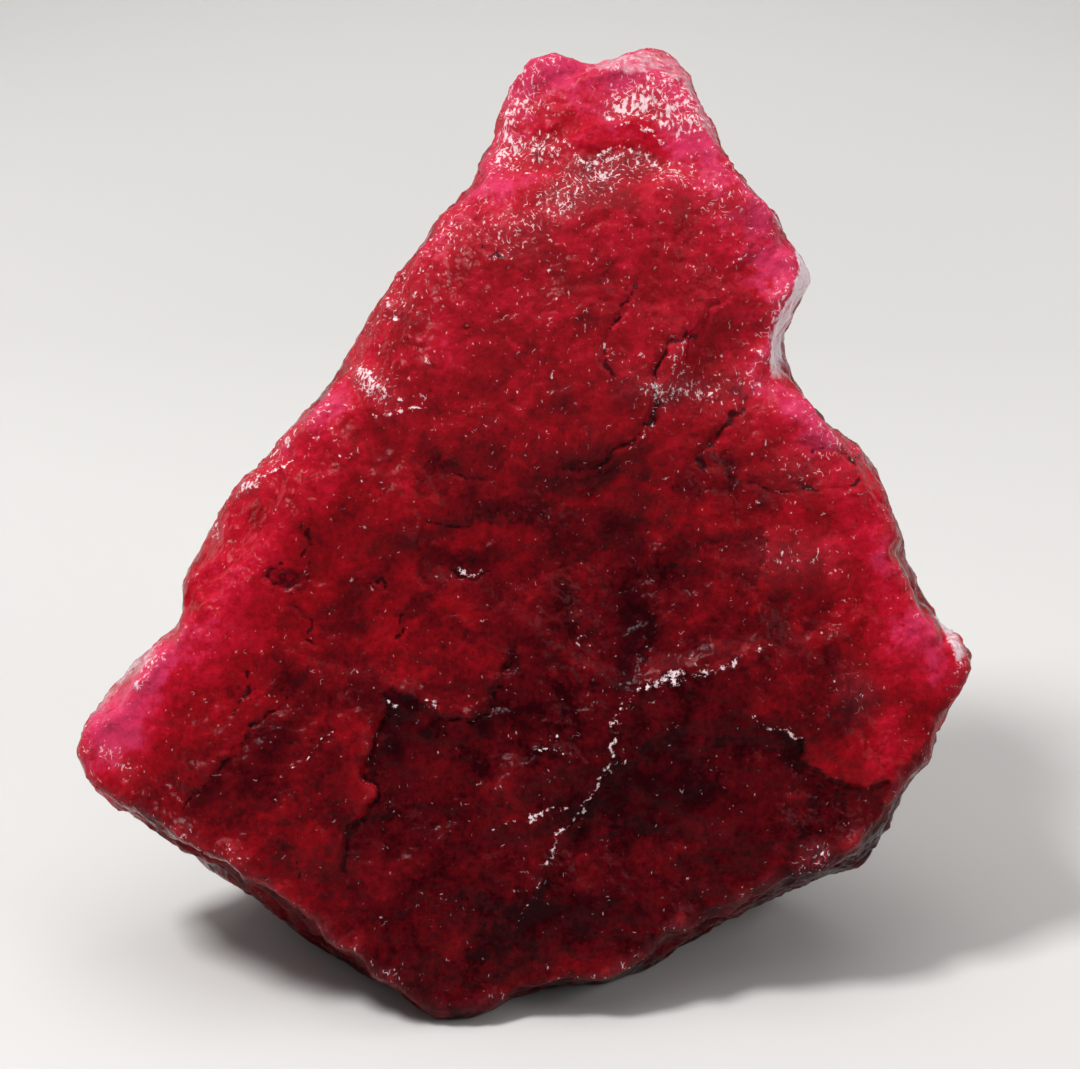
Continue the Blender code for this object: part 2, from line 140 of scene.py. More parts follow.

# Ridges along crushed edges, with white glints painted on them: half width, strength, and the path.
GLINTING_RIDGES = {
    "spine": (0.25, 0.95, [
        (9.9, -15.9), (9.0, -17.3), (7.7, -19.3), (7.0, -20.9), (6.3, -23.4), (5.7, -25.3), (4.0, -27.6),
        (2.3, -29.9), (1.3, -32.3), (0.3, -33.9)
    ]),
    "spine tail": (0.19, 0.8, [(0.3, -33.9), (-0.4, -35.8), (-1.3, -36.9), (-2.0, -38.4), (-2.4, -39.4)]),
    "spine branch": (0.19, 0.85, [(8.3, -22.3), (6.7, -23.4), (5.9, -24.8)]),
    "low branch": (0.19, 0.95, [(-4.4, -29.8), (-2.3, -29.3), (-0.7, -28.3), (1.0, -27.3), (3.0, -26.3)]),
    "shelf": (0.52, 1.0, [(9.3, -15.9), (11.0, -15.1), (13.0, -14.9), (14.6, -14.3)]),
    "shelf right": (0.38, 1.0, [(14.6, -14.3), (16.6, -13.9), (18.6, -12.6), (20.2, -11.6)]),
    "shelf knot": (0.42, 1.0, [(8.2, -16.0), (9.2, -16.2)]),
    "shelf end": (0.2, 0.9, [(20.8, -11.3), (22.2, -11.2), (23.4, -10.9)]),
    "right dip": (0.2, 0.95, [(19.7, -18.2), (21.4, -19.2), (23.0, -19.8), (25.2, -20.4), (27.0, -19.9)]),
    "notch": (0.16, 1.0, [(35.6, -9.6), (37.0, -8.6), (38.6, -7.9)]),
    "brow low edge": (0.5, 0.9, [(10.4, 15.2), (12.0, 14.9), (13.6, 13.8), (16.4, 13.2), (18.0, 13.6)]),
    "brow middle": (0.42, 0.7, [(13.0, 17.2), (15.4, 16.4), (17.6, 16.0)]),
    "brow high edge": (0.34, 0.75, [(19.0, 19.0), (20.8, 18.7), (23.0, 18.4)]),
    "high dashes": (0.16, 0.85, [(18.0, 28.6), (19.6, 27.6), (21.4, 28.4), (23.0, 29.4)]),
    "crack lip": (0.16, 0.95, [(12.1, 13.2), (11.2, 11.0), (10.0, 9.2), (8.2, 7.8)]),
    "crack foot": (0.26, 1.0, [(6.9, 6.6), (6.1, 6.2)]),
    "crack tail": (0.12, 0.85, [(5.4, 6.0), (4.0, 5.4), (2.2, 5.2)]),
    "upper bead": (0.2, 1.0, [(8.6, 24.6), (9.0, 24.2)]),
    "shoulder upper edge": (0.34, 0.9, [(-18.8, 17.0), (-16.6, 15.6), (-15.3, 14.7), (-13.6, 13.0)]),
    "shoulder lower edge": (0.19, 1.0, [
        (-17.9, 11.9), (-16.0, 12.0), (-13.9, 12.0), (-12.0, 12.1), (-10.9, 11.5)
    ]),
    "shoulder left": (0.34, 0.75, [(-19.9, 12.7), (-17.9, 11.8)]),
    "ridge below": (0.3, 0.7, [(-20.3, 11.3), (-21.6, 9.9), (-22.9, 8.3)]),
    "rim vein": (0.16, 1.0, [(-30.4, 5.2), (-28.6, 5.8), (-26.4, 6.6), (-24.6, 7.6)]),
    "rim cluster": (0.34, 0.75, [(-30.4, 4.6), (-29.0, 4.8), (-28.2, 4.4)]),
    "high flake": (0.12, 0.95, [(-11.8, 28.8), (-11.6, 27.2), (-12.4, 25.6), (-13.6, 25.0)]),
    "high dash": (0.16, 0.85, [(-15.9, 23.6), (-15.0, 22.6), (-14.4, 21.4)]),
    "crease glint": (0.2, 1.0, [(-6.6, 31.4), (-6.0, 30.0)]),
    "crease chain": (0.16, 0.9, [(-6.0, 28.4), (-4.6, 28.2), (-3.0, 28.0), (-1.6, 28.4)]),
    "middle dash": (0.13, 0.85, [(-19.6, 8.3), (-17.6, 8.0)]),
    "scratch": (0.16, 1.0, [(-25.7, -23.6), (-23.6, -22.2), (-21.8, -20.8), (-20.2, -19.6)]),
    "wall top": (0.16, 1.0, [(-16.2, -16.9), (-14.8, -17.5)]),
    "plate glint": (0.16, 1.0, [(-11.6, -17.4), (-10.0, -16.6)]),
    "small L": (0.19, 1.0, [(-1.0, -21.9), (1.0, -22.2), (3.0, -22.2)]),
    "small L up": (0.18, 0.95, [(1.6, -22.0), (1.7, -20.2)]),
    "low dash": (0.13, 0.95, [(-11.7, -27.6), (-10.7, -27.4)]),
    "toe ring": (0.2, 0.9, [(-32.2, -31.6), (-31.0, -31.2), (-30.2, -32.2), (-31.2, -33.0)]),
    "tail dash": (0.16, 0.6, [(-12.0, -40.9), (-11.0, -41.2)]),
    "belly glints": (0.19, 0.9, [(-8.0, -3.3), (-5.4, -3.4)]),
    "belly right": (0.15, 0.75, [(3.0, -3.2), (4.4, -3.6), (6.0, -4.4)]),
    "pocket bead": (0.16, 0.95, [(-13.6, -0.6), (-12.8, -1.0)]),
    "panel dash high": (0.19, 0.85, [(20.8, 2.9), (22.2, 3.4)]),
    "panel dash": (0.16, 0.85, [(23.0, 2.2), (25.0, 2.3)]),
    "core bead": (0.13, 0.85, [(12.3, -32.1), (13.8, -32.2)]),
    "dot": (0.12, 0.95, [(-15.6, -17.2), (-15.4, -17.4)]),
    "crown crest": (0.42, 0.85, [(1.0, 38.6), (4.2, 37.4), (8.0, 38.4), (10.6, 37.6), (13.4, 36.2)]),
    "crown line": (0.26, 0.85, [(6.0, 43.0), (7.4, 41.4), (10.6, 40.0), (13.0, 39.4)]),
}

# Patches of fine white glitter, painted as glints: centre, half width, half height, turn, density.
GLITTER = {
    "crown right": ((12.8, 42.0), 4.8, 3.6, -38.0, 0.68),
    "crown middle": ((8.6, 43.2), 2.4, 1.3, 20.0, 0.8),
    "crown left": ((-1.2, 43.6), 2.2, 2.6, 60.0, 0.5),
    "crown far left": ((-3.4, 40.0), 1.2, 3.4, -12.0, 0.5),
    "neck left": ((-1.4, 38.2), 3.4, 1.8, 15.0, 0.7),
    "neck middle": ((6.0, 36.4), 3.2, 2.4, 30.0, 0.5),
    "neck right": ((10.8, 37.4), 3.6, 1.8, -28.0, 0.5),
    "under the neck": ((2.0, 33.4), 3.0, 2.0, 40.0, 0.35),
    "right of the neck": ((18.0, 33.4), 3.0, 2.0, -40.0, 0.3),
    "upper left": ((-9.0, 30.6), 1.8, 3.4, -38.0, 0.36),
    "crease field": ((-3.0, 30.6), 3.4, 2.0, 0.0, 0.35),
    "left rim": ((-14.4, 24.0), 1.4, 4.4, -36.0, 0.3),
    "lower left rim": ((-26.0, 9.6), 1.4, 5.0, -46.0, 0.65),
    "shoulder": ((-17.0, 15.0), 3.0, 1.4, -35.0, 0.7),
    "left pit": ((-29.4, 4.6), 1.6, 0.9, 30.0, 0.7),
    "left waist": ((-32.2, 0.4), 1.3, 0.8, 40.0, 0.7),
    "brow": ((13.6, 14.6), 5.0, 1.5, -8.0, 0.45),
    "brow right": ((21.0, 15.6), 2.6, 2.4, 20.0, 0.35),
    "right rim": ((24.0, 22.6), 1.4, 4.0, -6.0, 0.25),
    "right panel": ((25.6, -2.4), 4.6, 2.2, -5.0, 0.35),
    "right net": ((27.0, 7.0), 4.0, 2.4, -10.0, 0.22),
    "shoulder lump": ((30.6, 9.2), 2.0, 1.0, -20.0, 0.35),
    "hip": ((32.0, -15.6), 1.6, 2.4, 0.0, 0.3),
    "low right": ((27.8, -32.0), 1.6, 1.0, 40.0, 0.4),
    "left tip": ((-43.6, -22.0), 1.8, 1.2, 0.0, 0.4),
    "left tip low": ((-42.0, -23.6), 2.0, 0.9, -20.0, 0.35),
    "left ridge": ((-40.0, -13.4), 1.4, 4.6, -45.0, 0.5),
    "clear band": ((8.0, 39.6), 6.4, 1.3, -4.0, -1.6),
}

# Patches where the painted glow is laid brighter than the stone's depth alone gives (or darker, below zero):
# centre, half width, half height, turn, and change.
GLOW_PATCHES = {
    "neck": ((5.0, 36.0), 9.0, 3.4, 0.0, -0.2),
    "right shoulder": ((19.0, 29.0), 5.0, 8.0, 28.0, 0.08),
    "upper left": ((-9.0, 27.0), 3.6, 6.0, -35.0, -0.1),
    "left shoulder": ((-24.0, 6.0), 9.0, 5.0, 50.0, 0.07),
    "left face": ((-30.0, -6.0), 8.0, 6.5, 50.0, 0.25),
    "left flank": ((-38.0, -14.0), 5.4, 7.0, -40.0, 0.27),
    "left tip": ((-42.6, -20.4), 3.4, 5.4, -20.0, 0.36),
    "plate": ((-10.0, -9.6), 6.0, 4.4, 10.0, 0.2),
    "slab": ((-21.0, -24.0), 5.0, 6.0, 0.0, 0.1),
    "slab low": ((-25.0, -33.0), 6.0, 4.0, -30.0, 0.16),
    "wall": ((-12.0, -22.0), 4.0, 5.0, 0.0, 0.08),
    "chest": ((8.0, 20.0), 12.0, 7.0, 20.0, 0.1),
    "panel": ((31.0, -2.6), 6.0, 6.0, 0.0, 0.08),
    "hip": ((36.0, -12.0), 4.4, 5.0, 0.0, 0.28),
    "clear patch": ((32.4, -21.0), 5.0, 3.4, 0.0, 0.17),
    "core": ((11.6, -25.4), 6.0, 4.6, 0.0, -0.14),
    "low right": ((31.0, -31.0), 5.0, 4.0, 30.0, -0.16),
    "low": ((3.0, -39.0), 9.0, 4.0, 10.0, -0.06),
    "belly right": ((15.0, -5.0), 5.0, 6.0, 0.0, -0.07),
    "centre hollow": ((8.0, -9.6), 2.6, 6.0, -8.0, -0.1),
}

# Dark clouds of fine grains inside the stone, and painted shade in the hollows, under the ledges and at the
# foot of walls: centre, half width, half height, turn, and density.
MURK_AND_SHADE = {
    "high spot": ((5.5, 28.2), 0.9, 0.8, 0.0, 0.8),
    "high spot below": ((5.8, 25.2), 0.9, 0.7, 0.0, 0.6),
    "brow corner": ((20.6, 14.4), 1.8, 1.2, 30.0, 0.7),
    "right root": ((19.0, 6.2), 1.4, 2.0, 20.0, 0.9),
    "under the brow": ((15.0, 4.4), 4.4, 1.4, 0.0, 0.7),
    "above the belly": ((3.4, 6.0), 4.6, 2.0, 10.0, 0.75),
    "belly left": ((-10.0, 7.0), 2.6, 1.4, -10.0, 0.95),
    "belly middle": ((-3.0, 2.2), 7.0, 1.5, -4.0, 0.8),
    "belly low": ((-7.0, -2.6), 6.0, 1.2, 4.0, 0.75),
    "belly right": ((8.0, 0.6), 3.0, 2.4, 30.0, 0.75),
    "left smudge": ((-25.0, -4.4), 2.6, 1.3, -18.0, 0.95),
    "left thread": ((-23.6, -1.0), 0.7, 2.6, 10.0, 0.6),
    "left smudge low": ((-25.4, -14.6), 1.5, 2.2, -20.0, 0.8),
    "flank": ((-30.4, -15.4), 0.9, 2.2, 15.0, 0.6),
    "band": ((-26.4, -20.6), 3.4, 1.8, 42.0, 0.75),
    "wall head": ((-14.2, -16.4), 3.2, 1.1, -8.0, 1.0),
    "wall": ((-14.6, -21.0), 2.0, 4.0, 0.0, 0.85),
    "wall foot": ((-18.4, -31.4), 1.3, 2.6, -20.0, 0.85),
    "wall toe": ((-19.0, -36.0), 1.0, 1.8, 0.0, 0.7),
    "plate notch": ((-3.0, -12.8), 1.1, 1.9, 15.0, 0.95),
    "plate shade": ((-5.8, -19.0), 3.0, 1.6, 30.0, 0.8),
    "centre": ((9.2, -9.6), 2.0, 4.8, -6.0, 0.85),
    "centre low": ((8.0, -14.6), 1.6, 1.8, 0.0, 0.8),
    "core": ((12.6, -25.6), 4.6, 3.0, 0.0, 0.8),
    "core side": ((22.0, -26.0), 4.0, 2.4, 30.0, 0.45),
    "low": ((6.4, -36.6), 5.0, 2.4, 15.0, 0.55),
    "small dot": ((-13.2, -6.2), 0.8, 0.5, 20.0, 0.8),
    "net": ((26.4, 6.4), 4.0, 1.8, -10.0, 0.5),
    "toe": ((-33.4, -27.0), 1.0, 2.6, -40.0, 0.5),
}

# Small round pits with a lip that stands proud and a painted bright glint on it: centre, radius, depth.
BUBBLES = {
    "ring": ((4.5, -10.8), 0.7, 0.15),
    "bead": ((8.7, 24.5), 0.4, 0.25),
    "oval": ((-7.2, 20.6), 0.55, 0.3),
    "dot": ((-2.9, -12.4), 0.5, -0.15),
    "pale bead": ((-17.2, 1.1), 0.4, -0.15),
    "low bead": ((-10.0, -36.6), 0.6, -0.12),
}

# Pale walls around the face, partly scuffed stone and partly a painted sheen where light grazes them:
# centre, half width, half height, turn, and how pale.
PALE_AND_SHEEN = {
    "left flank": ((-41.6, -13.0), 1.8, 6.6, -42.0, 0.5),
    "crown lip": ((9.0, 47.4), 6.0, 1.6, 0.0, 0.5),
    "crown right": ((15.8, 42.4), 2.4, 4.4, 30.0, 0.42),
    "high flake": ((-11.0, 27.4), 0.9, 1.6, -35.0, 0.4),
}

# Pale walls with the same painted sheen, that start at a sharp inner edge, to the left of each path: how
# pale, width, and the path.
LIPS = {
    "notch": (1.0, 2.4, [
        (24.2, 30.6), (25.4, 28.6), (26.0, 26.6), (25.2, 24.2), (24.0, 22.2), (23.1, 19.9), (23.1, 18.2)
    ]),
    "right shoulder": (0.8, 1.0, [(37.6, -4.2), (38.4, -6.0), (39.4, -7.9), (40.5, -9.8), (41.4, -11.8)]),
    "crown": (0.34, 3.4, [(4.6, 47.4), (6.0, 46.6), (9.0, 46.1), (12.0, 46.2), (14.0, 45.4), (15.4, 43.4)]),
}

# Rough skin, coarse to fine: size of a cell in millimetres, steepness on the front face and elsewhere, seed.
SKIN = [(9.0, 0.0, 0.16, 11), (4.2, 0.08, 0.16, 5), (1.7, 0.14, 0.16, 29)]

# Cracks of the sides and the back, cut in and painted dark as shade: size of the blocks that they part,
# width, depth, seed.
FAR_CRACKS = (13.0, 0.7, 0.5, 83)

# Flakes that differ a little in tone: size in millimetres, share of the difference, seed.
FLAKES = [(4.6, 0.55, 61), (1.6, 0.45, 67)]

# Grit all over the break: size and height in millimetres, seed.
GRIT = [(0.9, 0.11, 7), (3.0, 0.12, 23)]

# How far a break wanders off its path, coarse to fine: size and reach in millimetres, seed.
WANDER = [(4.0, 1.1, 5), (1.2, 0.5, 3), (0.6, 0.25, 13)]

STEP_HEIGHT = 2.0  # millimetres for a step whose high side is all lit and whose low side is all dark
CRACK_DEPTH = 0.6  # millimetres for a crack of depth 1
CRUSHED_HEIGHT = 0.12  # millimetres that a crushed edge of full strength stands proud
LIP_HEIGHT = 0.12  # millimetres that a pit's lip stands proud

# Ways that light takes to a point, from straight behind to above and the sides: across, up, and its weight.
LIGHT_WAYS = [(0.0, 0.0, 0.6), (0.0, 1.2, 1.4), (1.0, 0.6, 1.0), (-1.0, 0.6, 1.0)]
THINNEST = 1.5  # millimetres of stone that even the shortest way takes

# The painted glow, standing in for light through the stone: what the thickest stone keeps, what light
# through thin stone adds, and what the top adds as painted light from above.
GLOW_LEAST, GLOW_THROUGH, GLOW_ABOVE = 0.1, 0.85, 0.18

# Grains of the finish, in millimetres.
CLOUD_SIZE, CHIP_SIZE, GRAIN_SIZE, STREAK_SIZE = 3.0, 0.75, 0.6, 0.4


def linear(colour):
    """Linear values, with alpha, of a colour that is written as sRGB hex."""
    parts = [int(colour[i:i + 2], 16) / 255 for i in (1, 3, 5)]
    return [part / 12.92 if part <= 0.04045 else ((part + 0.055) / 1.055) ** 2.4 for part in parts] + [1.0]


def smooth(share):
    share = np.clip(share, 0.0, 1.0)
    return share * share * (3.0 - 2.0 * share)


# ---- Meshes as numbers ----

def read_mesh(mesh):
    """Points, triangles and outward unit normals of a mesh, in metres."""
    points = np.empty(len(mesh.vertices) * 3, np.float32)
    mesh.vertices.foreach_get("co", points)
    points = points.reshape(-1, 3).astype(float)
    mesh.calc_loop_triangles()
    triangles = np.empty(len(mesh.loop_triangles) * 3, np.int32)
    mesh.loop_triangles.foreach_get("vertices", triangles)
    triangles = triangles.reshape(-1, 3)
    first, second, third = (points[triangles[:, i]] for i in range(3))
    outward = np.cross(second - first, third - first)
    normals = np.zeros_like(points)
    for i in range(3):
        np.add.at(normals, triangles[:, i], outward)
    lengths = np.maximum(np.linalg.norm(normals, axis=1), 1e-20)
    return points, triangles, normals / lengths[:, None]


def write_points(mesh, points):
    mesh.vertices.foreach_set("co", points.astype(np.float32).ravel())
    mesh.update()


def write_values(mesh, name, values):
    """Keeps one number for each point, for the finish to read."""
    layer = mesh.attributes.new(name, "FLOAT", "POINT")
    layer.data.foreach_set("value", np.clip(values, 0.0, 1.0).astype(np.float32))


def blurred(values, triangles, rounds):
    """The values, each shared with its neighbours a number of times."""
    edges = np.concatenate([triangles[:, (0, 1)], triangles[:, (1, 2)], triangles[:, (2, 0)]])
    edges = np.concatenate([edges, edges[:, ::-1]])
    count = np.bincount(edges[:, 0], minlength=len(values))
    for _ in range(rounds):
        around = np.bincount(edges[:, 0], weights=values[edges[:, 1]], minlength=len(values))
        values = (values + around) / (1 + count)
    return values


# ---- Patterns on the stone ----

def face_out():
    """The direction straight out of the front face."""
    return np.array((0.0, -math.cos(LEAN), math.sin(LEAN)))


def on_face(points):
    """Each point's spot across and up the front face, in millimetres."""
    x, y, z = (points / MM - FACE_MIDDLE).T
    up = y * math.sin(LEAN) + z * math.cos(LEAN)
    out = z * math.sin(LEAN) - y * math.cos(LEAN)
    return np.column_stack((x, up)) / (1.0 - out / VANISHING)[:, None]


def on_front(normals):
    """How much of each point belongs to the front face: 0 on the sides and the back."""
    return smooth((normals @ face_out() - 0.1) / 0.5)


def noise_at(places, size, seed):
    """Smooth noise between about -0.6 and 0.6 at places in millimetres."""
    shift = Vector((seed, 2.0 * seed, 3.0 * seed))
    return np.array([noise.noise(Vector(place) + shift) for place in (places / size).tolist()])


def wander(places, spots, size, far, seed):
    """The spots, moved about so that what is drawn by them gets ragged."""
    return spots + far * np.column_stack((noise_at(places, size, seed), noise_at(places, size, seed + 8)))


def broken(places):
    """The places' spots on the face, moved about as a break wanders."""
    spots = on_face(places * MM)
    for size, far, seed in WANDER:
        spots = wander(places, spots, size, far, seed)
    return spots


def cells(places, size, seed):
    """Splits the stone in cells: each place's own cell, the cells' middles, and the gap to the next cell."""
    random = np.random.default_rng(seed)
    low, high = places.min(axis=0) - size, places.max(axis=0) + size
    grid = np.meshgrid(*[np.arange(*ends, size) for ends in zip(low, high)])
    centres = np.stack(grid, -1).reshape(-1, 3)
    centres += size * random.uniform(0.0, 0.9, centres.shape)
    tree = KDTree(len(centres))
    for i, centre in enumerate(centres.tolist()):
        tree.insert(centre, i)
    tree.balance()
    found = [tree.find_n(place, 2) for place in places.tolist()]
    cell = np.array([near[1] for near, _ in found])
    gap = np.array([far[2] - near[2] for near, far in found])
    return cell, centres, gap


def chipped(places, size, steepness, seed):
    """Height of a broken skin of tilted flat cells that meet in creases, in millimetres."""
    cell, centres, gap = cells(places, size, seed)
    leans = steepness * np.random.default_rng(seed + 1).uniform(-1.0, 1.0, centres.shape)
    return (leans[cell] * (places - centres[cell])).sum(axis=1) * np.minimum(1.0, gap / (0.2 * size))


def parted(places, size, width, seed):
    """How much of a broken crack lies at each place: the cracks part blocks of the given size."""
    torn = [places[:, i] + 2.0 * noise_at(places, 3.0, seed + i) for i in range(3)]
    _, _, gap = cells(np.column_stack(torn), size, seed)
    return np.clip(1.0 - gap / width, 0.0, 1.0) * smooth((noise_at(places, 7.0, seed) + 0.05) / 0.15)


def flaked(places, size, share, seed):
    """One tone for each flake with a ragged border, between 0 and the share."""
    torn = [places[:, i] + 0.5 * size * noise_at(places, 0.5 * size, seed + i) for i in range(3)]
    cell, centres, _ = cells(np.column_stack(torn), size, seed)
    return share * np.random.default_rng(seed + 1).uniform(0.0, 1.0, len(centres))[cell]


def along(path, spots):
    """Distance to a path, side of it (1 to its left) and share of its length, for each spot on the face."""
    path = np.array(path, float)
    lengths = np.linalg.norm(np.diff(path, axis=0), axis=1)
    before = np.concatenate([[0.0], np.cumsum(lengths)])
    nearest = np.full(len(spots), np.inf)
    side, share = np.zeros(len(spots)), np.zeros(len(spots))
    for start, end, length, travelled in zip(path[:-1], path[1:], lengths, before):
        step = (end - start) / length
        offset = spots - start
        run = np.clip(offset[:, 0] * step[0] + offset[:, 1] * step[1], 0.0, length)
        gap = np.linalg.norm(offset - run[:, None] * step, axis=1)
        closer = gap < nearest
        nearest[closer] = gap[closer]
        side[closer] = np.sign(step[0] * offset[:, 1] - step[1] * offset[:, 0])[closer]
        share[closer] = (travelled + run[closer]) / before[-1]
    return nearest, side, share


def line(spots, half_width, path):
    """How much of a line lies at each spot: 1 on it, 0.5 at its half width, fading towards its ends."""
    gap, _, share = along(path, spots)
    ends = smooth(share / 0.08) * smooth((1.0 - share) / 0.08)
    return np.clip(1.0 - 0.5 * gap / half_width, 0.0, 1.0) * (0.4 + 0.6 * ends)


def step(spots, reach, path):
    """How far each spot is on the high side of a step (1) or the low side (-1), fading away from it."""
    gap, side, share = along(path, spots)
    ends = smooth(share / 0.15) * smooth((1.0 - share) / 0.15)
    return side * np.exp(-gap / reach) * ends


def patch(spots, centre, half_width, half_height, turn):
    """How much of a soft oval patch lies at each spot."""
    turn = math.radians(turn)
    offset = spots - np.array(centre)
    across = (offset[:, 0] * math.cos(turn) + offset[:, 1] * math.sin(turn)) / half_width
    up = (offset[:, 1] * math.cos(turn) - offset[:, 0] * math.sin(turn)) / half_height
    return np.exp(-(across**2 + up**2))


def way_to_light(points, triangles, normals):
    """How much stone lies between each point and the light from behind and above, in millimetres.
    The shorter ways count most."""
    tree = BVHTree.FromPolygons(points.tolist(), triangles.tolist())
    up = np.array((0.0, 0.0, 1.0))
    side = np.cross(normals, up)
    side /= np.maximum(np.linalg.norm(side, axis=1), 1e-9)[:, None]
    starts = (points - normals * 0.3 * MM).tolist()
    total, weights = np.zeros(len(points)), 0.0
    for across, rise, weight in LIGHT_WAYS:
        ways = -normals + across * side + rise * up
        ways /= np.maximum(np.linalg.norm(ways, axis=1), 1e-9)[:, None]
        lengths = [tree.ray_cast(start, way)[3] or 0.0 for start, way in zip(starts, ways.tolist())]
        total += weight / np.maximum(np.array(lengths) / MM, THINNEST)
        weights += weight
    return weights / total


# ---- The stone ----

class RubySizes(bpy.types.PropertyGroup):
    grid: FloatProperty(
        name="Grid", description="Size of the fine skin's faces", default=0.36 * MM, subtype="DISTANCE")
    wear: IntProperty(
        name="Wear", description="Rounds of wear on the main breaks' edges", default=4)
    calm: FloatProperty(
        name="Calm", description="Share of the face's lumps of a few millimetres that is worn away",
        default=0.65)
    skin: FloatProperty(
        name="Skin", description="Depth of the rough skin, as a share of its full depth", default=1.0)
    reach: FloatProperty(
        name="Reach", description="Depth of stone that takes half of the light, in millimetres", default=12.0)
    triangles: IntProperty(
        name="Triangles", description="Most triangles in the finished skin", default=196000)


class RubyColours(bpy.types.PropertyGroup):
    # Deep, dark, body, painted glow and rim make the ramp of the painted glow, from thick stone to the thin
    # rim.
    deep: FloatVectorProperty(
        name="Deep", description="Where the stone is thickest", subtype="COLOR", size=4,
        default=linear("#260307"))
    dark: FloatVectorProperty(
        name="Dark", description="Dark body of the stone", subtype="COLOR", size=4, default=linear("#560a10"))
    body: FloatVectorProperty(
        name="Body", description="Body of the stone", subtype="COLOR", size=4, default=linear("#840c15"))
    painted_glow: FloatVectorProperty(
        name="Glow", description="Where light comes through", subtype="COLOR", size=4,
        default=linear("#ac1226"))
    rim: FloatVectorProperty(
        name="Rim", description="Thinnest edges", subtype="COLOR", size=4, default=linear("#c63058"))
    # Painted shade and dark grains: the colour of the dark clouds, the cracks and the threads.
    murk_and_shade: FloatVectorProperty(
        name="Murk", description="Clouds of dark grains", subtype="COLOR", size=4, default=linear("#1e0509"))
    # Painted sheen and scuffs: the pale colour of the walls.
    chalk_and_sheen: FloatVectorProperty(
        name="Chalk", description="Scuffed pale walls", subtype="COLOR", size=4, default=linear("#d9c5cc"))
    # Painted sheen: the pink glare over the glittering places.
    pink_sheen: FloatVectorProperty(
        name="Haze", description="Bruised pink stone", subtype="COLOR", size=4, default=linear("#d08a96"))
    # Painted glints: the white of the glints and of the glitter.
    glint_white: FloatVectorProperty(
        name="Crushed", description="Crushed white edges and glitter", subtype="COLOR", size=4,
        default=linear("#f4dadf"))


def only(obj):
    """Makes one object the selected and active one."""
    bpy.ops.object.select_all(action="DESELECT")
    obj.select_set(True)
    bpy.context.view_layer.objects.active = obj


def add_modifier(kind, **settings):
    """Adds a modifier to the active object and applies it at once."""
    bpy.ops.object.modifier_add(type=kind)
    modifier = bpy.context.object.modifiers[-1]
    for name, value in settings.items():
        setattr(modifier, name, value)
    bpy.ops.object.modifier_apply(modifier=modifier.name)


def skin_copy(node, sizes):
    """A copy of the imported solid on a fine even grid, with the facets' edges worn."""
    block = bpy.data.objects.new("ruby_block", node.data.copy())
    bpy.context.scene.collection.objects.link(block)
    only(block)
    bpy.ops.object.mode_set(mode="EDIT")
    bpy.ops.mesh.select_all(action="SELECT")
    bpy.ops.mesh.remove_doubles(threshold=1e-6)
    bpy.ops.object.mode_set(mode="OBJECT")
    add_modifier("REMESH", mode="VOXEL", voxel_size=sizes.grid)
    add_modifier("SMOOTH", factor=0.5, iterations=sizes.wear)
    return block


def fit_to_box(points):
    """The points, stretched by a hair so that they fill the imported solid's box exactly."""
    low, high = np.array(CAD_BOX[0]), np.array(CAD_BOX[1])
    bottom, top = points.min(axis=0), points.max(axis=0)
    return low + (points - bottom) * (high - low) / (top - bottom)


def roughen(block, sizes):
    """Cuts the steps, cracks, pits and the rough skin into the stone."""
    points, triangles, normals = read_mesh(block.data)
    front = on_front(normals)
    inner = smooth((blurred(front, triangles, 60) - 0.85) / 0.15)
    out = points @ face_out()
    flat = blurred(out, triangles, 110)
    points += (sizes.calm * inner * (flat - out))[:, None] * face_out()
    write_points(block.data, points)
    points, triangles, normals = read_mesh(block.data)
    places = points / MM
    ragged = broken(places)
    size, width, depth, seed = FAR_CRACKS
    height = -depth * (1.0 - front) * smooth(parted(places, size, width, seed))
    turned = smooth((normals @ face_out() + 0.6) / 0.5)
    for size, on_face_steepness, far_steepness, seed in SKIN:
        steepness = far_steepness + (on_face_steepness - far_steepness) * turned
        height += steepness * chipped(places, size, 1.0, seed)
    height += sum(high * noise_at(places, size, seed) for size, high, seed in GRIT)
    relief = np.zeros(len(points))
    for change, reach, path in STEPS.values():
        relief += STEP_HEIGHT * change * step(ragged, 0.5 * reach, path)
    for half_width, depth, path in CRACKS.values():
        relief -= CRACK_DEPTH * depth * smooth(line(ragged, 1.3 * half_width, path))
    for half_width, strength, path in GLINTING_RIDGES.values():
        relief += CRUSHED_HEIGHT * strength * smooth(line(ragged, 1.6 * half_width, path))
    for centre, radius, depth in BUBBLES.values():
        gap = np.linalg.norm(on_face(points) - np.array(centre), axis=1) / radius
        relief += LIP_HEIGHT * np.exp(-((gap - 1.0) / 0.35) ** 2) - depth * np.exp(-(gap / 0.7) ** 4)
    above_foot = smooth((places[:, 2] - 0.3) / 1.5)
    points += normals * ((sizes.skin * height + front * relief) * above_foot * MM)[:, None]
    write_points(block.data, points)
    # Only the sides, the back and the base are thinned out.
    elsewhere = block.vertex_groups.new(name="elsewhere")
    elsewhere.add(np.flatnonzero(front < 0.5).tolist(), 1.0, "REPLACE")
    only(block)
    add_modifier("DECIMATE", ratio=min(1.0, sizes.triangles / len(triangles)), vertex_group="elsewhere")
    block.vertex_groups.clear()
    points = read_mesh(block.data)[0]
    write_points(block.data, fit_to_box(points))


